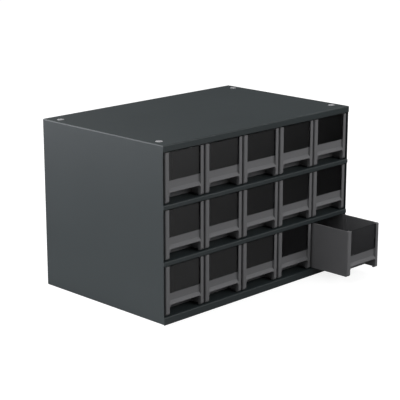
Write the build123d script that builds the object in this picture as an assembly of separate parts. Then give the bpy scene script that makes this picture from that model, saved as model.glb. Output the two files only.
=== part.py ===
from build123d import *
import os
from math import acos, sin, tan

os.makedirs("parts", exist_ok=True)

# Parts bin cabinet: a folded sheet-steel shell with three rows of five moulded drawers.
# Millimetres. The origin is the centre of the shell's footprint on the ground, +Z is up,
# the drawers open towards -Y, and row 1 is the top row, column 1 the left one.

# Drawers, outside sizes
columns = 5
rows = 3
drawer_width = 80.96
drawer_height = 77.8
drawer_length = 268.3

# Room around each drawer
drawer_gap = 4.1          # between neighbours, and between a drawer and the shell's side
front_setback = 0.6       # front of a closed drawer behind the front of the shell
rear_gap = 9.3            # behind a closed drawer
lip_clearance = 1.8       # top of a drawer to the lip above it
seat_clearance = 0.3      # bottom of a drawer above the guides that carry it

# Sheet steel
sheet = 1.2
bend_inside = 0.8         # inside radius of each fold
base_height = 12.0        # top of the floor shelf above the ground
shelf_lip = 6.9           # depth of the lip at the front of a shelf
top_lip = 10.3            # depth of the lip at the front of the top
shelf_flange = 8.0        # depth of a shelf's flanges at its sides and rear
back_flange = 12.0        # depth of the back panel's flange under the top
corner_relief = 4.0       # flanges stop this far from a corner

# Guide strips on the shelves, each folded from a strip of the same sheet
guide_foot_width = 6.0    # width of the foot under a drawer's wall
guide_rise = 6.0          # height of the upstand above the foot
guide_front = 8.0         # front end behind the front of the shell
guide_rear = 4.0          # rear end ahead of the back panel

# Plugs in the four holes of the top
plug_side_inset = 15.9
plug_end_inset = 25.4
plug_head = 11.5          # diameter
plug_head_height = 1.0
plug_hole = 9.7           # diameter
plug_clearance = 0.1      # stem to hole, on the radius
plug_stem_reach = 2.6     # stem below the sheet
plug_barb = 0.55          # barb outside the stem, on the radius
plug_barb_gap = 0.2       # barb below the sheet
plug_crown = 0.9          # rounding of the head's edge

# Tray of a drawer
wall = 2.0                # side walls, rear wall, floor and scoop
wall_step = 0.4           # side walls set in behind the faces of the posts
post_width = 7.2
post_depth = 6.7
post_radius = 2.5         # outer front corner of a post
foot_radius = 5.0         # front lower corner of the tray, from the side
edge_radius = 0.8         # small roundings
rear_radius = 3.0         # rear corners
band_recess = 3.8         # band behind the front of the posts
band_top = 34.0
flare_top = 21.9          # where the band begins to flare into the pull lip
flare_bottom = 17.4
lip_bottom = 16.2
lip_thickness = 2.0
arch_radius = 4.5         # upper corners of the finger opening
scoop_depth = 26.0        # finger space behind the front of the posts
scoop_height = 20.2
scoop_radius = 17.0
slot_count = 3            # divider slots on each side wall
slot_width = 3.2
rib_width = 1.6
rib_proud = 1.2
rib_top_gap = 6.0         # ribs end this far below the top of the tray
tab_width = 30.0          # stop tab on the rear wall
tab_rise = 5.2

# Window in the front of the tray
window_recess = 2.5       # window behind the front of the posts
window_thickness = 1.6
window_top_gap = 0.8      # top of the window below the top of the tray
groove_lip = 1.0          # front wall of the groove in each post
groove_depth = 2.4        # groove into each post
groove_clearance = 0.15   # behind the window, and at its edges

# The drawer in the lowest right place stands open by this length
open_row = rows
open_column = columns
open_length = 76.2

# Sizes that follow from those above
bend_outside = bend_inside + sheet
column_pitch = drawer_width + drawer_gap
row_pitch = sheet + seat_clearance + drawer_height + lip_clearance + shelf_lip
cabinet_width = 2 * sheet + columns * drawer_width + (columns + 1) * drawer_gap
cabinet_depth = front_setback + drawer_length + rear_gap + sheet
cabinet_height = base_height + rows * row_pitch - shelf_lip + top_lip
front = -cabinet_depth / 2
inner_rear = cabinet_depth / 2 - sheet
inner_half = cabinet_width / 2 - sheet
guide_half = drawer_gap / 2 + guide_foot_width
post_inside = drawer_width / 2 - post_width
wall_outside = drawer_width / 2 - wall_step
wall_inside = wall_outside - wall
band_back = band_recess + wall
overlap = 0.5             # how deep joined shapes of one moulding or sheet run into each other
straight_share = 0.98     # most of a side that the rounding of a corner may take
shortest_line = 0.0005


def shelf_top(row):
    """Height of the shelf under a row."""
    return base_height + (rows - row) * row_pitch


def column_x(column):
    """Place of a column's middle across the cabinet."""
    return (column - (columns + 1) / 2) * column_pitch


def outline(*corners):
    """Closed face from corners (a, b) or (a, b, radius), each rounded by its own radius."""
    points = [Vector(c[0], c[1]) for c in corners]
    ends = []
    edges = []
    for i, corner in enumerate(corners):
        here, before, after = points[i], points[i - 1], points[(i + 1) % len(points)]
        radius = corner[2] if len(corner) > 2 else 0
        if radius == 0:
            ends.append((here, here))
            continue
        back, on = before - here, after - here
        back_unit, on_unit = back.normalized(), on.normalized()
        half_angle = acos(max(-1, min(1, back_unit.dot(on_unit)))) / 2
        radius = min(radius, straight_share * tan(half_angle) * min(back.length, on.length))
        reach = radius / tan(half_angle)
        inward = (back_unit + on_unit).normalized()
        middle = here + inward * (radius / sin(half_angle) - radius)
        start, end = here + back_unit * reach, here + on_unit * reach
        edges.append(ThreePointArc(start, middle, end))
        ends.append((start, end))
    for i, (_, end) in enumerate(ends):
        start = ends[(i + 1) % len(ends)][0]
        if (start - end).length > shortest_line:
            edges.append(Line(end, start))
    return make_face(edges)


def run_across(face, low, high):
    """Solid of a side-view face, drawn in y and z, run along x from low to high."""
    return Pos(low, 0, 0) * extrude(Plane.YZ * face, high - low, dir=(1, 0, 0))


def run_back(face, low, high):
    """Solid of a front-view face, drawn in x and z, run along y from low to high."""
    upright = Plane((0, 0, 0), (1, 0, 0), (0, -1, 0)) * face
    return Pos(0, low, 0) * extrude(upright, high - low, dir=(0, 1, 0))


def block(low, high):
    """Box between two corners."""
    size = [b - a for a, b in zip(low, high)]
    return Pos(*low) * Box(*size, align=(Align.MIN, Align.MIN, Align.MIN))


# Shell

def folded_edge(fold_at, top, reach, depth, toward):
    """Side-view section of a sheet folded down at one end; toward is +1 when it runs to +y."""
    inside = fold_at + toward * sheet
    return outline(
        (fold_at + toward * reach, top),
        (fold_at, top, bend_outside),
        (fold_at, top - depth),
        (inside, top - depth),
        (inside, top - sheet, bend_inside),
        (fold_at + toward * reach, top - sheet),
    )


def shell_ring():
    """Top, sides and underside of the shell, one sheet folded into a ring."""
    half, high = cabinet_width / 2, cabinet_height
    outer = outline((-half, 0, bend_outside), (half, 0, bend_outside),
                    (half, high, bend_outside), (-half, high, bend_outside))
    inner = outline((-inner_half, sheet, bend_inside), (inner_half, sheet, bend_inside),
                    (inner_half, high - sheet, bend_inside), (-inner_half, high - sheet, bend_inside))
    return outer, outer - inner


def plug_places():
    """Where the four plugs sit in the top."""
    x = cabinet_width / 2 - plug_side_inset
    y = cabinet_depth / 2 - plug_end_inset
    return [(sx * x, sy * y) for sx in (-1, 1) for sy in (-1, 1)]


def make_outer_wrapper():
    """The shell: the ring of sheet, the lip at the front of its top, and the plug holes."""
    outer, ring = shell_ring()
    rear = cabinet_depth / 2
    shell = run_back(ring, front + sheet, rear)
    lip = run_across(folded_edge(front, cabinet_height, bend_outside + overlap, top_lip, 1),
                     -cabinet_width / 2, cabinet_width / 2)
    side_view = outline((front, 0), (rear, 0), (rear, cabinet_height),
                        (front, cabinet_height, bend_outside))
    shell = (shell + lip) & run_across(side_view, -cabinet_width / 2, cabinet_width / 2)
    shell = shell & run_back(outer, front, rear)
    for x, y in plug_places():
        shell -= Pos(x, y, cabinet_height - sheet / 2) * Cylinder(plug_hole / 2, sheet + 2 * overlap)
    return shell


def make_back_panel():
    """Flat back inside the ring, with a flange under the top of the shell."""
    half = inner_half - corner_relief
    panel = run_back(outline(
        (-inner_half, sheet, bend_outside), (inner_half, sheet, bend_outside),
        (inner_half, cabinet_height - sheet - bend_outside),
        (-inner_half, cabinet_height - sheet - bend_outside),
    ), inner_rear, cabinet_depth / 2)
    fold = outline(
        (cabinet_depth / 2, cabinet_height - sheet - bend_outside - overlap),
        (cabinet_depth / 2, cabinet_height - sheet, bend_outside),
        (cabinet_depth / 2 - back_flange, cabinet_height - sheet),
        (cabinet_depth / 2 - back_flange, cabinet_height - 2 * sheet),
        (inner_rear, cabinet_height - 2 * sheet, bend_inside),
        (inner_rear, cabinet_height - sheet - bend_outside - overlap),
    )
    return panel + run_across(fold, -half, half)


def make_shelf(top, lip_depth, flange_depth):
    """Shelf with a lip to the shell's outer edges, and flanges at its sides and rear."""
    first, last = front + corner_relief, inner_rear - corner_relief
    side = outline(
        (-inner_half, top, bend_outside), (inner_half, top, bend_outside),
        (inner_half, top - flange_depth), (inner_half - sheet, top - flange_depth),
        (inner_half - sheet, top - sheet, bend_inside), (sheet - inner_half, top - sheet, bend_inside),
        (sheet - inner_half, top - flange_depth), (-inner_half, top - flange_depth),
    )
    half = cabinet_width / 2
    shelf = run_back(side, first, last)
    lip = run_across(folded_edge(front, top, corner_relief + overlap, lip_depth, 1), -half, half)
    for low, high in ((-half, -inner_half), (inner_half, half)):
        lip -= block((low, front + sheet, top - lip_depth), (high, front + corner_relief + overlap, top))
    rear = run_across(folded_edge(inner_rear, top, corner_relief + overlap, flange_depth, -1),
                      corner_relief - inner_half, inner_half - corner_relief)
    ends = block((-inner_half, last - overlap, top - sheet), (inner_half, inner_rear - bend_outside, top))
    return shelf + lip + rear + ends


def make_guide(row, place):
    """Guide strip between two drawers, or between a drawer and the shell's side."""
    x = -inner_half + drawer_gap / 2 + place * column_pitch
    low, top = shelf_top(row), shelf_top(row) + sheet
    left = max(x - guide_half, -inner_half)
    right = min(x + guide_half, inner_half)
    face = outline(
        (left, low), (right, low), (right, top), (x + sheet, top, edge_radius),
        (x + sheet, top + guide_rise, edge_radius), (x - sheet, top + guide_rise, edge_radius),
        (x - sheet, top, edge_radius), (left, top),
    )
    return run_back(face, front + guide_front, inner_rear - guide_rear)


def make_plug(x, y):
    """Push-in plug: a low domed head, a stem through the sheet and a barb below it."""
    stem = plug_hole / 2 - plug_clearance
    barb = stem + plug_barb
    head = plug_head / 2
    low = -sheet - plug_stem_reach
    under = -sheet - plug_barb_gap
    section = outline(
        (0, plug_head_height), (head, plug_head_height, plug_crown), (head, 0),
        (stem, 0), (stem, under), (barb, under), (stem - plug_barb, low), (0, low),
    )
    return Pos(x, y, cabinet_height) * revolve(Plane.XZ * section, Axis.Z)


# Drawer, drawn with its front at y = 0 and its bottom at z = 0

def tray_plan():
    """Top-view face of posts, side walls and rear wall."""
    half, length = drawer_width / 2, drawer_length
    return outline(
        (-half, 0, post_radius), (-post_inside, 0, edge_radius), (-post_inside, post_depth, edge_radius),
        (-wall_inside, post_depth), (-wall_inside, length - wall, rear_radius - wall),
        (wall_inside, length - wall, rear_radius - wall), (wall_inside, post_depth),
        (post_inside, post_depth, edge_radius), (post_inside, 0, edge_radius), (half, 0, post_radius),
        (half, post_depth), (wall_outside, post_depth), (wall_outside, length, rear_radius),
        (-wall_outside, length, rear_radius), (-wall_outside, post_depth), (-half, post_depth),
    )


def tray_front_section():
    """Side-view section of the band, its flared pull lip, the finger scoop and the floor."""
    rear = drawer_length - wall + overlap
    return outline(
        (band_recess, band_top), (band_back, band_top),
        (band_back, scoop_height + wall, edge_radius),
        (scoop_depth + wall, scoop_height + wall, scoop_radius + wall),
        (scoop_depth + wall, wall, edge_radius), (rear, wall), (rear, 0),
        (scoop_depth, 0), (scoop_depth, scoop_height, scoop_radius),
        (band_back, scoop_height), (lip_thickness, flare_bottom - lip_thickness / 2),
        (lip_thickness, lip_bottom - arch_radius), (0, lip_bottom - arch_radius),
        (0, flare_bottom, edge_radius), (band_recess, flare_top, edge_radius),
    )


def finger_arch():
    """Cutter that gives the pull lip its straight lower edge and round corners."""
    face = outline((-post_inside, -overlap), (post_inside, -overlap),
                   (post_inside, lip_bottom, arch_radius), (-post_inside, lip_bottom, arch_radius))
    return run_back(face, -overlap, band_back)


def divider_ribs(solid):
    """Add the ribs that hold dividers, in pairs, on both side walls."""
    inside = drawer_length - wall - band_back
    spread = (slot_width + rib_width) / 2
    for slot in range(1, slot_count + 1):
        middle = band_back + inside * slot / (slot_count + 1)
        for y in (middle - spread, middle + spread):
            for low, high in ((-wall_inside - overlap, -wall_inside + rib_proud),
                              (wall_inside - rib_proud, wall_inside + overlap)):
                solid += block((low, y - rib_width / 2, wall - overlap),
                               (high, y + rib_width / 2, drawer_height - rib_top_gap))
    return solid


def make_tray():
    """One-piece moulded tray of a drawer."""
    tray = extrude(tray_plan(), drawer_height)
    apron = run_across(tray_front_section(), -wall_inside - overlap, wall_inside + overlap)
    keep = block((-post_inside - overlap, 0, 0), (post_inside + overlap, band_back, band_top))
    keep += block((-wall_inside - overlap, band_back, 0), (wall_inside + overlap, drawer_length, band_top))
    tray += (apron & keep) - finger_arch()
    tray = divider_ribs(tray)
    tab_top = drawer_height + tab_rise
    tab = outline((-tab_width / 2, drawer_height - overlap), (tab_width / 2, drawer_height - overlap),
                  (tab_width / 2, tab_top, wall), (-tab_width / 2, tab_top, wall))
    side_view = outline((0, 0, foot_radius), (drawer_length, 0, edge_radius),
                        (drawer_length, drawer_height), (0, drawer_height, edge_radius))
    tray &= run_across(side_view, -drawer_width / 2, drawer_width / 2)
    tray += run_back(tab, drawer_length - wall, drawer_length)
    groove_back = window_recess + window_thickness + groove_clearance
    reach = post_inside + groove_depth
    tray -= block((-reach, groove_lip, band_top), (reach, groove_back, drawer_height))
    return tray


def make_window():
    """Clear front above the band, slid down into the grooves of the posts."""
    reach = post_inside + groove_depth - groove_clearance
    face = outline((-reach, band_top), (reach, band_top),
                   (reach, drawer_height - window_top_gap, edge_radius),
                   (-reach, drawer_height - window_top_gap, edge_radius))
    return run_back(face, window_recess, window_recess + window_thickness)


def drawer_place(row, column):
    """Where a drawer's own origin lies in the cabinet, the open drawer pulled out."""
    is_open = row == open_row and column == open_column
    y = front + front_setback - (open_length if is_open else 0)
    return Pos(column_x(column), y, shelf_top(row) + sheet + seat_clearance)


def save(name, shape):
    """Write one node."""
    export_step(shape, f"parts/{name}.step")


def build():
    """Make every node of the cabinet."""
    save("outer_wrapper", make_outer_wrapper())
    save("back_panel", make_back_panel())
    save("floor_shelf", make_shelf(base_height, base_height, base_height - sheet - bend_inside))
    for row, name in ((rows - 1, "lower_shelf"), (rows - 2, "upper_shelf")):
        save(name, make_shelf(shelf_top(row), shelf_lip, shelf_flange))
    for row in range(1, rows + 1):
        for place in range(columns + 1):
            save(f"guide_r{row}_{place + 1}", make_guide(row, place))
    save("top_plugs", Compound(children=[make_plug(x, y) for x, y in plug_places()]))
    tray, window = make_tray(), make_window()
    for row in range(1, rows + 1):
        for column in range(1, columns + 1):
            place = drawer_place(row, column)
            save(f"tray_r{row}c{column}", place * tray)
            save(f"window_r{row}c{column}", place * window)


build()
print(f"cabinet {cabinet_width:.2f} x {cabinet_depth:.2f} x {cabinet_height:.2f}")
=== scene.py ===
"""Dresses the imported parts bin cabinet: a folded steel shell and fifteen moulded drawers.

Everything is in metres, in the frame of the CAD model: the origin is the centre of the
shell's footprint on the ground, +Z is up and the drawers open towards -Y.
"""

from __future__ import annotations

import logging
import math
from dataclasses import dataclass
from enum import Enum

import bmesh
import bpy
from mathutils import Matrix, Vector


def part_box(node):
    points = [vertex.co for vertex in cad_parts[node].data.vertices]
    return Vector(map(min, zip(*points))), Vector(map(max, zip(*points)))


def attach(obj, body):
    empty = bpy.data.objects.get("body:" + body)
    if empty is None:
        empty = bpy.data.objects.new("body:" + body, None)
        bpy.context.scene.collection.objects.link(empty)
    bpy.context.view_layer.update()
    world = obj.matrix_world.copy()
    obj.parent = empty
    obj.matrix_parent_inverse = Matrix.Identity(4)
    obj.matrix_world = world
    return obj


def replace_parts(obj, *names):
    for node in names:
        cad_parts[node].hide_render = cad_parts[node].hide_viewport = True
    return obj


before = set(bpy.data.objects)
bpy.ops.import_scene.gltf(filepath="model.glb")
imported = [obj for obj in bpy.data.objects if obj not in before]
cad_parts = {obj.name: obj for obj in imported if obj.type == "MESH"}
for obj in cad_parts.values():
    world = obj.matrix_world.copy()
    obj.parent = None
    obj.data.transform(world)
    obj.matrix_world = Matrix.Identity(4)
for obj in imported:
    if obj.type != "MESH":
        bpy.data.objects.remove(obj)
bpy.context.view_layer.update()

MM = 0.001
ROWS = 3
COLUMNS = 5
CABINET = "cabinet"
# Vertex attribute that marks the rounded edge strips for a lighter edge colour: partly wear,
# partly a painted highlight.
WORN_AND_HIGHLIGHT = "worn_and_highlight_strip"
OPAQUE = 1.0
WHITE = (1.0, 1.0, 1.0, OPAQUE)
MOTTLE_SPAN = (0.3, 0.7)
LOG = logging.getLogger("parts_bin_cabinet")

Colour = tuple[float, float, float]
Place = tuple[float, float, float]
Span = tuple[float, float]
Socket = bpy.types.NodeSocket


class Slot(Enum):
    """Material slots of the record."""

    SHELL = "cabinet_steel"
    GUIDE = "guide_steel"
    TRAY = "drawer_plastic"
    WINDOW = "window_plastic"
    PLUG = "plug_zinc"


# Nodes


class NodeBench:
    """Adds nodes to one shader tree and joins them."""

    def __init__(self, tree: bpy.types.NodeTree) -> None:
        """Work on a tree.

        Args:
            tree: The tree that gets the nodes.
        """
        self.tree = tree

    def add(
            self, kind: str, inputs: dict[str | int, object] | None = None, **settings: object,
    ) -> bpy.types.Node:
        """Add one node.

        Args:
            kind: The node's type.
            inputs: Values or sockets for its inputs, by name or number.
            settings: Other properties of the node.

        Returns:
            The new node.
        """
        made = self.tree.nodes.new(kind)
        for name, value in settings.items():
            setattr(made, name, value)
        for name, value in (inputs or {}).items():
            if isinstance(value, bpy.types.NodeSocket):
                self.tree.links.new(value, made.inputs[name])
            else:
                made.inputs[name].default_value = value
        return made

    def math(self, kind: str, first: object, second: object, clamp: bool = False) -> Socket:
        """Add a Math node.

        Args:
            kind: The operation.
            first: Its first value or socket.
            second: Its second value or socket.
            clamp: Whether the answer stays between 0 and 1.

        Returns:
            The node's output.
        """
        inputs = {0: first, 1: second}
        return self.add("ShaderNodeMath", inputs, operation=kind, use_clamp=clamp).outputs[0]

    def blend(self, factor: object, first: object, second: object) -> Socket:
        """Mix two colours.

        Args:
            factor: How far the mix goes from the first to the second.
            first: The first colour or its socket.
            second: The second colour or its socket.

        Returns:
            The mixed colour.
        """
        made = self.add("ShaderNodeMix", {0: factor, 6: first, 7: second}, data_type="RGBA")
        return made.outputs[2]

    def remap(
            self, value: Socket, span: Span, onto: Span = (0.0, 1.0), curve: str = "LINEAR",
    ) -> Socket:
        """Stretch a value from one span onto another, held within it.

        Args:
            value: The value.
            span: The low and high end that it comes from.
            onto: The low and high end that it goes to.
            curve: The Map Range node's kind of interpolation.

        Returns:
            The stretched value.
        """
        inputs = {
            "Value": value, "From Min": span[0], "From Max": span[1],
            "To Min": onto[0], "To Max": onto[1],
        }
        return self.add("ShaderNodeMapRange", inputs, interpolation_type=curve).outputs[0]

    def mottled(self, mottle: Socket, colour: Colour, share: float) -> Socket:
        """Vary a colour by a mottle.

        Args:
            mottle: The mottle, from 0 to 1.
            colour: The colour in the middle of it.
            share: How much of the colour it takes or gives at its ends.

        Returns:
            The varied colour.
        """
        low = tuple(c * (1 - share) for c in colour) + (OPAQUE,)
        high = tuple(c * (1 + share) for c in colour) + (OPAQUE,)
        return self.blend(mottle, low, high)


def new_group(
        name: str, inputs: dict[str, float], outputs: tuple[str, ...],
) -> tuple[NodeBench, bpy.types.Node, bpy.types.Node]:
    """Start a node group of float sockets.

    Args:
        name: The group's name.
        inputs: Its inputs with their defaults.
        outputs: The names of its outputs.

    Returns:
        The bench of the new group, its input node and its output node.
    """
    group = bpy.data.node_groups.new(name, "ShaderNodeTree")
    for label, value in inputs.items():
        socket = group.interface.new_socket(
            name=label, in_out="INPUT", socket_type="NodeSocketFloat")
        socket.default_value = value
    for label in outputs:
        group.interface.new_socket(name=label, in_out="OUTPUT", socket_type="NodeSocketFloat")
    bench = NodeBench(group)
    return bench, bench.add("NodeGroupInput"), bench.add("NodeGroupOutput")


def new_material(name: str) -> tuple[bpy.types.Material, NodeBench]:
    """Start a material with an empty node tree.

    Args:
        name: The material's name.

    Returns:
        The material and the bench of its tree.
    """
    made = bpy.data.materials.new(name)
    made.use_nodes = True
    made.node_tree.nodes.clear()
    return made, NodeBench(made.node_tree)


def make_skin_group() -> bpy.types.NodeTree:
    """Fine skin of a sprayed or moulded surface: its height and its broad mottle.

    Returns:
        A group with the outputs Height and Mottle, both from 0 to 1.
    """
    bench, entry, leave = new_group(
        "fine_skin", {"Grain Scale": 700.0, "Mottle Scale": 9.0}, ("Height", "Mottle"))
    place = bench.add("ShaderNodeTexCoord").outputs["Object"]
    grain = bench.add("ShaderNodeTexNoise", {
        "Vector": place, "Scale": entry.outputs["Grain Scale"], "Detail": 2.0, "Roughness": 0.45})
    broad = bench.add("ShaderNodeTexNoise", {
        "Vector": place, "Scale": entry.outputs["Mottle Scale"], "Detail": 3.0, "Roughness": 0.55})
    bench.tree.links.new(grain.outputs[0], leave.inputs["Height"])
    bench.tree.links.new(broad.outputs[0], leave.inputs["Mottle"])
    return bench.tree


def make_edge_group() -> bpy.types.NodeTree:
    """Edges that are partly worn and partly given a painted highlight: the mask of the rounded
    edge strips, broken up along their length.

    Returns:
        A group with the output Mask, from 0 to 1.
    """
    patch_span = (0.35, 0.65)
    bench, entry, leave = new_group(
        "worn_and_highlight_edge", {"Amount": 0.5, "Break Scale": 60.0}, ("Mask",))
    strip = bench.add("ShaderNodeAttribute", attribute_name=WORN_AND_HIGHLIGHT).outputs["Fac"]
    place = bench.add("ShaderNodeTexCoord").outputs["Object"]
    patchy = bench.add("ShaderNodeTexNoise", {
        "Vector": place, "Scale": entry.outputs["Break Scale"], "Detail": 2.0})
    level = bench.remap(patchy.outputs[0], patch_span)
    patches = bench.math("MULTIPLY", strip, level)
    mask = bench.math("MULTIPLY", patches, entry.outputs["Amount"], clamp=True)
    bench.tree.links.new(mask, leave.inputs["Mask"])
    return bench.tree


SKIN_GROUP = make_skin_group()
EDGE_GROUP = make_edge_group()


# Finishes


@dataclass(frozen=True)
class Finish:
    """Opaque finish with a fine skin, a broad mottle, and edges lightened as wear and as a painted
    highlight.

    Attributes:
        name: The material's name.
        colour: Colour of the surface.
        worn_and_highlight_colour: Colour of a rounded edge, lighter than the surface: partly wear,
            partly a painted highlight.
        roughness: Roughness in the middle of the mottle.
        specular: Specular level.
        grain_scale: How fine the skin's grain is.
        grain_depth: How deep the skin's grain is.
        mottle: Share by which the mottle varies the colour.
        mottle_scale: How fine the mottle is.
        unevenness: How far the mottle varies the roughness.
        edge: How strongly the edges take that lighter colour, wear and painted highlight together.
    """

    name: str
    colour: Colour
    worn_and_highlight_colour: Colour
    roughness: float
    specular: float
    grain_scale: float
    grain_depth: float
    mottle: float = 0.06
    mottle_scale: float = 9.0
    unevenness: float = 0.02
    edge: float = 0.5

    def material(self) -> bpy.types.Material:
        """Build the material.

        Returns:
            The new material.
        """
        made, bench = new_material(self.name)
        skin = bench.add(
            "ShaderNodeGroup", {0: self.grain_scale, 1: self.mottle_scale}, node_tree=SKIN_GROUP)
        edge = bench.add("ShaderNodeGroup", {0: self.edge}, node_tree=EDGE_GROUP)
        mottle = skin.outputs["Mottle"]
        plain = bench.mottled(mottle, self.colour, self.mottle)
        # The rounded edges turn lighter: partly wear, partly a painted highlight.
        colour = bench.blend(edge.outputs["Mask"], plain, (*self.worn_and_highlight_colour, OPAQUE))
        rough = bench.remap(mottle, MOTTLE_SPAN, (
            self.roughness - self.unevenness, self.roughness + self.unevenness))
        bump = bench.add("ShaderNodeBump", {
            "Height": skin.outputs["Height"], "Strength": 1.0, "Distance": self.grain_depth})
        shader = bench.add("ShaderNodeBsdfPrincipled", {
            "Base Color": colour, "Roughness": rough, "Normal": bump.outputs[0],
            "Specular IOR Level": self.specular,
        })
        bench.add("ShaderNodeOutputMaterial", {"Surface": shader.outputs[0]})
        return made


@dataclass(frozen=True)
class SmokedClear:
    """Clear moulded plastic with a smoke tint.

    Attributes:
        name: The material's name.
        tint: Colour of light that went through it.
        roughness: Roughness in the middle of the mottle.
        ior: Refractive index.
        mottle: Share by which the mottle varies the tint.
        mottle_scale: How fine the mottle is.
        unevenness: How far the mottle varies the roughness.
        wave_scale: How fine the moulding's waves are.
        wave_strength: How strongly the waves bend the shading.
        wave_depth: How deep the waves are.
    """

    name: str
    tint: Colour
    roughness: float = 0.04
    ior: float = 1.49
    mottle: float = 0.04
    mottle_scale: float = 14.0
    unevenness: float = 0.016
    wave_scale: float = 45.0
    wave_strength: float = 0.3
    wave_depth: float = 0.02 * MM

    def material(self) -> bpy.types.Material:
        """Build the material.

        Returns:
            The new material.
        """
        made, bench = new_material(self.name)
        skin = bench.add(
            "ShaderNodeGroup", {0: self.wave_scale, 1: self.mottle_scale}, node_tree=SKIN_GROUP)
        mottle = skin.outputs["Mottle"]
        tint = bench.mottled(mottle, self.tint, self.mottle)
        rough = bench.remap(mottle, MOTTLE_SPAN, (
            self.roughness - self.unevenness, self.roughness + self.unevenness))
        wave = bench.add("ShaderNodeBump", {
            "Height": skin.outputs["Height"], "Strength": self.wave_strength,
            "Distance": self.wave_depth,
        })
        shader = bench.add("ShaderNodeBsdfPrincipled", {
            "Base Color": tint, "Roughness": rough, "Normal": wave.outputs[0],
            "IOR": self.ior, "Transmission Weight": 1.0,
        })
        bench.add("ShaderNodeOutputMaterial", {"Surface": shader.outputs[0]})
        return made


# Each finish's edge colour is lighter than its surface colour: partly wear, partly a painted
# highlight along the rounded edges.
POWDER_COAT = Finish(
    "charcoal_powder_coat", colour=(0.031, 0.0405, 0.0430), worn_and_highlight_colour=(0.085, 0.092, 0.096),
    roughness=0.45, specular=0.5, grain_scale=650.0, grain_depth=0.012 * MM, edge=0.35)
GUIDE_COAT = Finish(
    "guide_strip_coat", colour=(0.030, 0.034, 0.036), worn_and_highlight_colour=(0.09, 0.092, 0.094),
    roughness=0.5, specular=0.4, grain_scale=650.0, grain_depth=0.012 * MM, edge=0.5)
GREY_STYRENE = Finish(
    "grey_moulded_styrene", colour=(0.180, 0.180, 0.187), worn_and_highlight_colour=(0.20, 0.20, 0.205),
    roughness=0.5, specular=0.5, grain_scale=2200.0, grain_depth=0.008 * MM,
    mottle=0.03, edge=0.4)
PALE_NYLON = Finish(
    "pale_nylon_plug", colour=(0.42, 0.42, 0.43), worn_and_highlight_colour=(0.48, 0.48, 0.48),
    roughness=0.4, specular=0.5, grain_scale=1800.0, grain_depth=0.006 * MM,
    mottle=0.04, edge=0.2)
SMOKE = SmokedClear("smoked_clear_styrene", tint=(0.52, 0.52, 0.54))


# Meshes


def merged_copy(node: str) -> bmesh.types.BMesh:
    """Copy a CAD node's mesh, joined up and with its flat faces made whole.

    Args:
        node: Name of the CAD node.

    Returns:
        A new mesh; the node's own isn't touched.
    """
    join_distance = 0.001 * MM
    flat_angle = math.radians(0.3)
    mesh = bmesh.new()
    mesh.from_mesh(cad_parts[node].data)
    bmesh.ops.remove_doubles(mesh, verts=mesh.verts, dist=join_distance)
    bmesh.ops.dissolve_limit(
        mesh, angle_limit=flat_angle, use_dissolve_boundaries=False,
        verts=mesh.verts, edges=mesh.edges, delimit=set())
    return mesh


def loose_object(name: str, mesh: bmesh.types.BMesh) -> bpy.types.Object:
    """Put a mesh into the scene as a plain object.

    Args:
        name: The object's name.
        mesh: Its shape; it is freed.

    Returns:
        The new object.
    """
    data = bpy.data.meshes.new(name)
    mesh.to_mesh(data)
    mesh.free()
    made = bpy.data.objects.new(name, data)
    bpy.context.scene.collection.objects.link(made)
    return made


def add_piece(
        name: str, mesh: bmesh.types.BMesh, material: bpy.types.Material, body: str,
) -> bpy.types.Object:
    """Make a finished piece from a mesh that is already in place.

    Args:
        name: The piece's name.
        mesh: Its shape; it is freed.
        material: Its finish.
        body: The CAD body that it rides on.

    Returns:
        The new object.
    """
    for face in mesh.faces:
        face.smooth = True
    made = loose_object(name, mesh)
    made.data.materials.clear()
    made.data.materials.append(material)
    even = made.modifiers.new("even_normals", "WEIGHTED_NORMAL")
    even.keep_sharp = True
    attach(made, body)
    LOG.info("%s: %d faces, rides on %s", name, len(made.data.polygons), body)
    return made


def spread(low: float, high: float, count: int) -> list[float]:
    """Space a number of places evenly.

    Args:
        low: The first place.
        high: The last place.
        count: How many there are.

    Returns:
        The places from low to high.
    """
    return [low + (high - low) * i / (count - 1) for i in range(count)]


@dataclass(frozen=True)
class EdgeRound:
    """How the sharp edges of a piece are rounded.

    Attributes:
        width: How far the rounding reaches from the edge.
        segments: How many strips it has.
        least_angle: Edges that turn by less stay as they are.
    """

    width: float
    segments: int = 2
    least_angle: float = math.radians(35)

    def apply(self, mesh: bmesh.types.BMesh) -> None:
        """Round the sharp edges and mark the middle of each rounded strip, which the finishes
        lighten as wear and as a painted highlight.

        Args:
            mesh: The mesh to change.
        """
        layer = mesh.verts.layers.float.get(WORN_AND_HIGHLIGHT) or mesh.verts.layers.float.new(WORN_AND_HIGHLIGHT)
        sharp = [e for e in mesh.edges if e.is_manifold and e.calc_face_angle() > self.least_angle]
        made = bmesh.ops.bevel(
            mesh, geom=sharp, offset=self.width, offset_type="OFFSET", affect="EDGES",
            segments=self.segments, profile=0.5, material=-1, clamp_overlap=True, loop_slide=True)
        strips = set(made["faces"])
        for vert in made["verts"]:
            if all(face in strips for face in vert.link_faces):
                vert[layer] = 1.0


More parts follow.
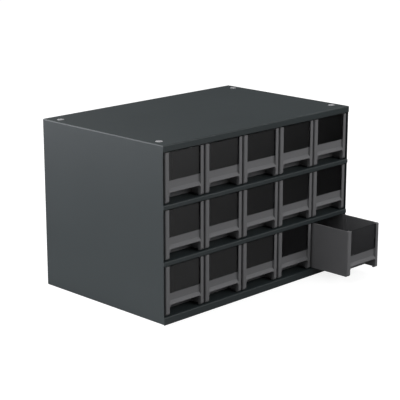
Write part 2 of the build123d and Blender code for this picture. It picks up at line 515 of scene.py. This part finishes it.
@dataclass(frozen=True)
class RoundMark:
    """Shallow round mark sunk into a flat face.

    Attributes:
        radius: Radius of the mark at the face.
        depth: How deep it is.
        flat_share: Radius of its flat bottom as a share of the radius.
        steps: How many sides its circle has.
    """

    radius: float
    depth: float
    flat_share: float = 0.72
    steps: int = 28

    def punches(self, places: list[Vector], way: Vector) -> bmesh.types.BMesh:
        """Make the punches that sink a set of marks.

        Args:
            places: Middles of the marks on the face.
            way: Direction that the face looks in.

        Returns:
            One closed punch for each mark.
        """
        mesh = bmesh.new()
        turn = way.to_track_quat("Z", "Y").to_matrix().to_4x4()
        for place in places:
            bmesh.ops.create_cone(
                mesh, cap_ends=True, segments=self.steps, radius1=self.radius * self.flat_share,
                radius2=self.radius * (2.0 - self.flat_share), depth=self.depth * 2,
                matrix=Matrix.Translation(place) @ turn)
        return mesh

    def sink(
            self, mesh: bmesh.types.BMesh, places: list[Vector], way: Vector,
    ) -> bmesh.types.BMesh:
        """Sink the marks into a mesh.

        Args:
            mesh: The mesh to mark; it is freed.
            places: Middles of the marks on its face.
            way: Direction that the face looks in.

        Returns:
            The marked mesh.
        """
        blank = loose_object("blank", mesh)
        punch = loose_object("punch", self.punches(places, way))
        cut = blank.modifiers.new("sink", "BOOLEAN")
        cut.operation, cut.solver, cut.object = "DIFFERENCE", "EXACT", punch
        bpy.context.view_layer.update()
        marked = bmesh.new()
        marked.from_object(blank, bpy.context.evaluated_depsgraph_get())
        for spent in (blank, punch):
            data = spent.data
            bpy.data.objects.remove(spent)
            bpy.data.meshes.remove(data)
        return marked


CUT_SHEET = EdgeRound(0.25 * MM)
CUT_STRIP = EdgeRound(0.2 * MM)
TRAY_EDGE = EdgeRound(0.3 * MM)
WINDOW_EDGE = EdgeRound(0.2 * MM)
SPOT_WELD = RoundMark(3.0 * MM, 0.18 * MM)
EJECTOR_PIN = RoundMark(3.2 * MM, 0.12 * MM, flat_share=0.9)


# Sub-assemblies


@dataclass
class SteelShell:
    """Folded sheet-steel shell: wrapper, back, and three shelves."""

    back: str = "back_panel"
    wrapper: str = "outer_wrapper"
    shelves: tuple[str, ...] = ("floor_shelf", "lower_shelf", "upper_shelf")
    welds_across: int = 6
    weld_inset: float = 32 * MM
    weld_drop: float = 5 * MM

    def weld_places(self) -> list[Vector]:
        """Find the spot welds that hold the shelves' rear flanges to the back.

        Returns:
            Middles of the welds on the back's outer face.
        """
        low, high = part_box(self.back)
        across = spread(low.x + self.weld_inset, high.x - self.weld_inset, self.welds_across)
        return [Vector((x, high.y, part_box(shelf)[1].z - self.weld_drop))
                for shelf in self.shelves for x in across]

    def build(self, coat: bpy.types.Material) -> None:
        """Make each sheet of the shell and dress it in the coat.

        Args:
            coat: Material of the sheets.
        """
        for node in (self.wrapper, self.back, *self.shelves):
            mesh = merged_copy(node)
            CUT_SHEET.apply(mesh)
            if node == self.back:
                mesh = SPOT_WELD.sink(mesh, self.weld_places(), Vector((0, 1, 0)))
            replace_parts(add_piece(f"steel_{node}", mesh, coat, CABINET), node)


@dataclass
class GuideStrips:
    """Strips that carry the drawers and keep them apart."""

    rows: int = ROWS
    strips_across: int = COLUMNS + 1

    def build(self, coat: bpy.types.Material) -> None:
        """Make every strip and dress it in the coat.

        Args:
            coat: Material of the strips.
        """
        for row in range(1, self.rows + 1):
            for place in range(1, self.strips_across + 1):
                node = f"guide_r{row}_{place}"
                mesh = merged_copy(node)
                CUT_STRIP.apply(mesh)
                piece = add_piece(f"strip_r{row}_{place}", mesh, coat, CABINET)
                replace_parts(piece, node)


@dataclass
class TopPlugs:
    """Four push-in plugs in the top of the shell."""

    head: float = 11.5 * MM
    head_height: float = 0.8 * MM
    crown: tuple[tuple[float, float], ...] = (
        (0.60, 0.04 * MM), (0.80, 0.16 * MM), (0.93, 0.38 * MM), (0.99, 0.62 * MM))
    dimple: float = 1.3 * MM
    dimple_floor: float = 0.8
    dimple_depth: float = 0.12 * MM
    stem: float = 9.5 * MM
    stem_taper: float = 0.6 * MM
    barb: float = 10.6 * MM
    barb_gap: float = 0.2 * MM
    barb_height: float = 0.4 * MM
    sheet: float = 1.2 * MM
    reach: float = 3.8 * MM
    steps: int = 40
    join_distance: float = 0.002 * MM

    def outline(self) -> list[tuple[float, float]]:
        """Draw the half section of a plug.

        Returns:
            Radius and height above the top of each of its points, from its crown down.
        """
        head, stem, barb = self.head / 2, self.stem / 2, self.barb / 2
        pit = self.head_height - self.dimple_depth
        barb_top = -self.sheet - self.barb_gap
        return [
            (0.0, pit), (self.dimple * self.dimple_floor, pit), (self.dimple, self.head_height),
            *((head * share, self.head_height - drop) for share, drop in self.crown),
            (head, 0.0), (stem, 0.0), (stem, barb_top), (barb, barb_top),
            (barb, barb_top - self.barb_height), (stem - self.stem_taper, -self.reach),
            (0.0, -self.reach),
        ]

    def places(self) -> list[Vector]:
        """Find the four plugs on the top of the shell.

        Returns:
            Their centres.
        """
        low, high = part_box("top_plugs")
        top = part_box("outer_wrapper")[1].z
        reach = self.head / 2
        return [Vector((x, y, top)) for x in (low.x + reach, high.x - reach)
                for y in (low.y + reach, high.y - reach)]

    def build(self, nylon: bpy.types.Material) -> None:
        """Turn the plugs and set them in the top.

        Args:
            nylon: Material of the plugs.
        """
        mesh = bmesh.new()
        for place in self.places():
            section = [mesh.verts.new(place + Vector((r, 0, z))) for r, z in self.outline()]
            edges = [mesh.edges.new(pair) for pair in zip(section, section[1:])]
            bmesh.ops.spin(
                mesh, geom=section + edges, cent=place, axis=(0, 0, 1), dvec=(0, 0, 0),
                angle=math.tau, steps=self.steps, use_merge=True, use_duplicate=False)
        bmesh.ops.remove_doubles(mesh, verts=mesh.verts, dist=self.join_distance)
        bmesh.ops.recalc_face_normals(mesh, faces=mesh.faces)
        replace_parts(add_piece("nylon_plugs", mesh, nylon, CABINET), "top_plugs")


@dataclass
class Drawer:
    """One drawer: a moulded tray with a smoked window in its front."""

    row: int
    column: int
    floor_thickness: float = 2.0 * MM
    pin_inset: float = 16 * MM
    pins_along: int = 4
    scoop_end: float = 44 * MM

    @property
    def place(self) -> str:
        """Name of the drawer's place in the cabinet."""
        return f"r{self.row}c{self.column}"

    def pin_places(self) -> list[Vector]:
        """Find the ejector-pin marks on the floor inside the tray.

        Returns:
            Their middles.
        """
        low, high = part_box(f"tray_{self.place}")
        along = spread(low.y + self.scoop_end, high.y - self.pin_inset, self.pins_along)
        return [Vector((x, y, low.z + self.floor_thickness))
                for x in (low.x + self.pin_inset, high.x - self.pin_inset) for y in along]

    def build(self, styrene: bpy.types.Material, smoke: bpy.types.Material) -> None:
        """Make the tray and the window.

        Args:
            styrene: Material of the tray.
            smoke: Material of the window.
        """
        body = f"drawer_{self.place}"
        tray = merged_copy(f"tray_{self.place}")
        TRAY_EDGE.apply(tray)
        tray = EJECTOR_PIN.sink(tray, self.pin_places(), Vector((0, 0, 1)))
        moulded = add_piece(f"moulded_tray_{self.place}", tray, styrene, body)
        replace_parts(moulded, f"tray_{self.place}")
        window = merged_copy(f"window_{self.place}")
        WINDOW_EDGE.apply(window)
        smoked = add_piece(f"smoked_window_{self.place}", window, smoke, body)
        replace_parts(smoked, f"window_{self.place}")


# Studio


@dataclass(frozen=True)
class Softbox:
    """A large soft lamp that faces a point.

    Attributes:
        name: The lamp's name.
        place: Where it hangs.
        aim: The point that it faces.
        width: Its width.
        height: Its height.
        brightness: How bright its face is.
        colour: Colour of its light.
        watts: Power of a square metre at a brightness of 1.
    """

    name: str
    place: Place
    aim: Place
    width: float
    height: float
    brightness: float
    colour: Colour = (1.0, 1.0, 1.0)
    watts: float = 4.0

    def build(self) -> bpy.types.Object:
        """Hang the lamp.

        Returns:
            The lamp.
        """
        data = bpy.data.lights.new(self.name, "AREA")
        data.color = self.colour
        data.shape = "RECTANGLE"
        data.size, data.size_y = self.width, self.height
        data.energy = self.watts * self.width * self.height * self.brightness
        made = bpy.data.objects.new(self.name, data)
        way = Vector(self.aim) - Vector(self.place)
        turn = way.to_track_quat("-Z", "Y").to_matrix().to_4x4()
        made.matrix_world = Matrix.Translation(self.place) @ turn
        made.visible_camera = False
        bpy.context.scene.collection.objects.link(made)
        return made


@dataclass(frozen=True)
class Glow:
    """A broad soft glow of the surround, strongest in one direction."""

    way: Place
    strength: float

    def level(self, bench: NodeBench, way: Socket) -> Socket:
        """Add the glow's nodes.

        Args:
            bench: Bench of the world's tree.
            way: Direction that is looked in.

        Returns:
            Strength of the glow in that direction.
        """
        toward = bench.add(
            "ShaderNodeVectorMath", {0: way, 1: Vector(self.way).normalized()},
            operation="DOT_PRODUCT")
        lit = bench.math("MAXIMUM", toward.outputs["Value"], 0.0)
        return bench.math("MULTIPLY", bench.math("MULTIPLY", lit, lit), self.strength)


@dataclass(frozen=True)
class Ramp:
    """Smooth rise from 0 to 1 along one direction, between two distances from the origin."""

    way: Place
    start: float
    end: float

    def level(self, bench: NodeBench, place: Socket) -> Socket:
        """Add the ramp's nodes.

        Args:
            bench: Bench of the floor's tree.
            place: Place on the floor.

        Returns:
            Level of the ramp at that place.
        """
        along = bench.add(
            "ShaderNodeVectorMath", {0: place, 1: self.way}, operation="DOT_PRODUCT")
        return bench.remap(along.outputs["Value"], (self.start, self.end), curve="SMOOTHSTEP")


@dataclass(frozen=True)
class Sheen:
    """Bright patch of the floor that shows only in reflections."""

    ramps: tuple[Ramp, ...]
    strength: float

    def level(self, bench: NodeBench, place: Socket) -> Socket:
        """Add the patch's nodes.

        Args:
            bench: Bench of the floor's tree.
            place: Place on the floor.

        Returns:
            Brightness of the patch at that place.
        """
        level: object = self.strength
        for ramp in self.ramps:
            level = bench.math("MULTIPLY", level, ramp.level(bench, place))
        return level


@dataclass
class Studio:
    """Pale floor, soft light and the camera."""

    floor_size: float = 14.0
    floor_drop: float = 0.3 * MM
    floor_grey: float = 0.30
    shadow_grey: float = 0.38
    floor_white: float = 0.85
    camera_place: Place = (-1.5344, -1.5282, 0.7108)
    camera_turn: Place = (74.986, 0.0, -45.13)
    camera_clip: Span = (0.05, 50.0)
    lens: float = 120.75
    sensor: float = 36.0
    lamps: tuple[Softbox, ...] = (
        Softbox("back_left_softbox", (-1.0, 1.24, 0.70), (-0.2, 0.08, 0.13),
                1.7, 1.4, 2.2, (0.99, 0.98, 1.04)),
        Softbox("front_softbox", (0.42, -1.42, 0.94), (0.0, -0.1, 0.13), 1.3, 0.5, 3.9),
        Softbox("high_left_softbox", (-1.0, -0.6, 1.4), (0.1, -0.2, 0.1), 0.9, 0.9, 0.52),
        Softbox("right_softbox", (1.9, 0.05, 0.90), (0.1, 0.0, 0.13), 1.0, 0.8, 2.3),
        Softbox("back_softbox", (0.5, 1.9, 1.5), (0.0, 0.1, 0.13), 1.2, 0.8, 0.35),
        Softbox("overhead_softbox", (0.0, 0.2, 1.6), (0.0, 0.0, 0.1), 1.8, 1.8, 0.18),
    )
    ambient: float = 0.08
    glows: tuple[Glow, ...] = (Glow((-0.70, 0.70, 0.30), 1.75),)
    sheens: tuple[Sheen, ...] = (
        Sheen((Ramp((-0.6, -0.8, 0.0), -0.10, 0.70),), 0.55),
        Sheen((Ramp((-1.0, 0.0, 0.0), 0.15, 0.28), Ramp((-1.0, 0.0, 0.0), 0.80, 0.22)), 0.30),
        Sheen((Ramp((0.0, -1.0, 0.0), 0.10, 0.14), Ramp((0.0, -1.0, 0.0), 0.60, 0.14)), 0.07),
    )

    @staticmethod
    def seen_mask(bench: NodeBench) -> Socket:
        """Mask the rays that see a surface straight or through clear plastic.

        Args:
            bench: Bench of the tree that needs the mask.

        Returns:
            1 for such a ray, and 0 for one that lights something.
        """
        path = bench.add("ShaderNodeLightPath")
        bounces = bench.math("ADD", path.outputs["Diffuse Depth"], path.outputs["Glossy Depth"])
        first = bench.math("SUBTRACT", 1.0, bounces, clamp=True)
        through = bench.math("MULTIPLY", path.outputs["Is Transmission Ray"], first)
        return bench.math("MAXIMUM", path.outputs["Is Camera Ray"], through)

    def build_world(self) -> None:
        """Surround the object with soft light that is white where it is seen."""
        world = bpy.data.worlds.new("studio_surround")
        bpy.context.scene.world = world
        world.use_nodes = True
        world.node_tree.nodes.clear()
        bench = NodeBench(world.node_tree)
        way = bench.add("ShaderNodeTexCoord").outputs["Generated"]
        level: object = self.ambient
        for glow in self.glows:
            level = bench.math("ADD", level, glow.level(bench, way))
        strength = bench.add(
            "ShaderNodeMix", {0: self.seen_mask(bench), 2: level, 3: 1.0}, data_type="FLOAT")
        back = bench.add(
            "ShaderNodeBackground", {"Color": WHITE, "Strength": strength.outputs[0]})
        bench.add("ShaderNodeOutputWorld", {"Surface": back.outputs[0]})

    def floor_material(self) -> bpy.types.Material:
        """Pale matt floor that the camera sees as white, with the object's soft shadow.

        Returns:
            The material.
        """
        made, bench = new_material("pale_floor")
        place = bench.add("ShaderNodeTexCoord").outputs["Object"]
        sheen: object = 0.0
        for patch in self.sheens:
            sheen = bench.math("ADD", sheen, patch.level(bench, place))
        path = bench.add("ShaderNodeLightPath")
        matt = bench.add("ShaderNodeBsdfDiffuse", {"Color": (*[self.floor_grey] * 3, OPAQUE)})
        faint = bench.add("ShaderNodeBsdfDiffuse", {"Color": (*[self.shadow_grey] * 3, OPAQUE)})
        white = bench.add("ShaderNodeEmission", {"Color": WHITE, "Strength": self.floor_white})
        lit = bench.add("ShaderNodeAddShader", {0: faint.outputs[0], 1: white.outputs[0]})
        gloss = bench.add("ShaderNodeEmission", {"Strength": sheen})
        other = bench.add("ShaderNodeMixShader", {
            0: path.outputs["Is Glossy Ray"], 1: matt.outputs[0], 2: gloss.outputs[0]})
        whole = bench.add("ShaderNodeMixShader", {
            0: self.seen_mask(bench), 1: other.outputs[0], 2: lit.outputs[0]})
        bench.add("ShaderNodeOutputMaterial", {"Surface": whole.outputs[0]})
        return made

    def build_floor(self) -> None:
        """Lay the floor under the shell."""
        mesh = bmesh.new()
        bmesh.ops.create_grid(mesh, x_segments=1, y_segments=1, size=self.floor_size / 2)
        bmesh.ops.translate(mesh, verts=mesh.verts, vec=(0, 0, -self.floor_drop))
        floor = loose_object("studio_floor", mesh)
        floor.data.materials.append(self.floor_material())

    def build_camera(self) -> None:
        """Set the camera up at the photograph's viewing angle."""
        data = bpy.data.cameras.new("camera")
        data.lens, data.sensor_width = self.lens, self.sensor
        data.clip_start, data.clip_end = self.camera_clip
        camera = bpy.data.objects.new("camera", data)
        camera.location = self.camera_place
        camera.rotation_euler = [math.radians(angle) for angle in self.camera_turn]
        bpy.context.scene.collection.objects.link(camera)
        bpy.context.scene.camera = camera

    def build(self) -> None:
        """Set up the camera, the floor and the light."""
        self.build_camera()
        self.build_floor()
        self.build_world()
        for lamp in self.lamps:
            lamp.build()
        bpy.context.scene.view_settings.view_transform = "Standard"
        LOG.info("studio: %d softboxes", len(self.lamps))


def main() -> None:
    """Build the studio and every sub-assembly in order."""
    logging.basicConfig(level=logging.INFO, format="%(message)s")
    Studio().build()
    SteelShell().build(POWDER_COAT.material())
    GuideStrips().build(GUIDE_COAT.material())
    TopPlugs().build(PALE_NYLON.material())
    styrene, smoke = GREY_STYRENE.material(), SMOKE.material()
    for row in range(1, ROWS + 1):
        for column in range(1, COLUMNS + 1):
            Drawer(row, column).build(styrene, smoke)


if __name__ == "__main__":
    main()
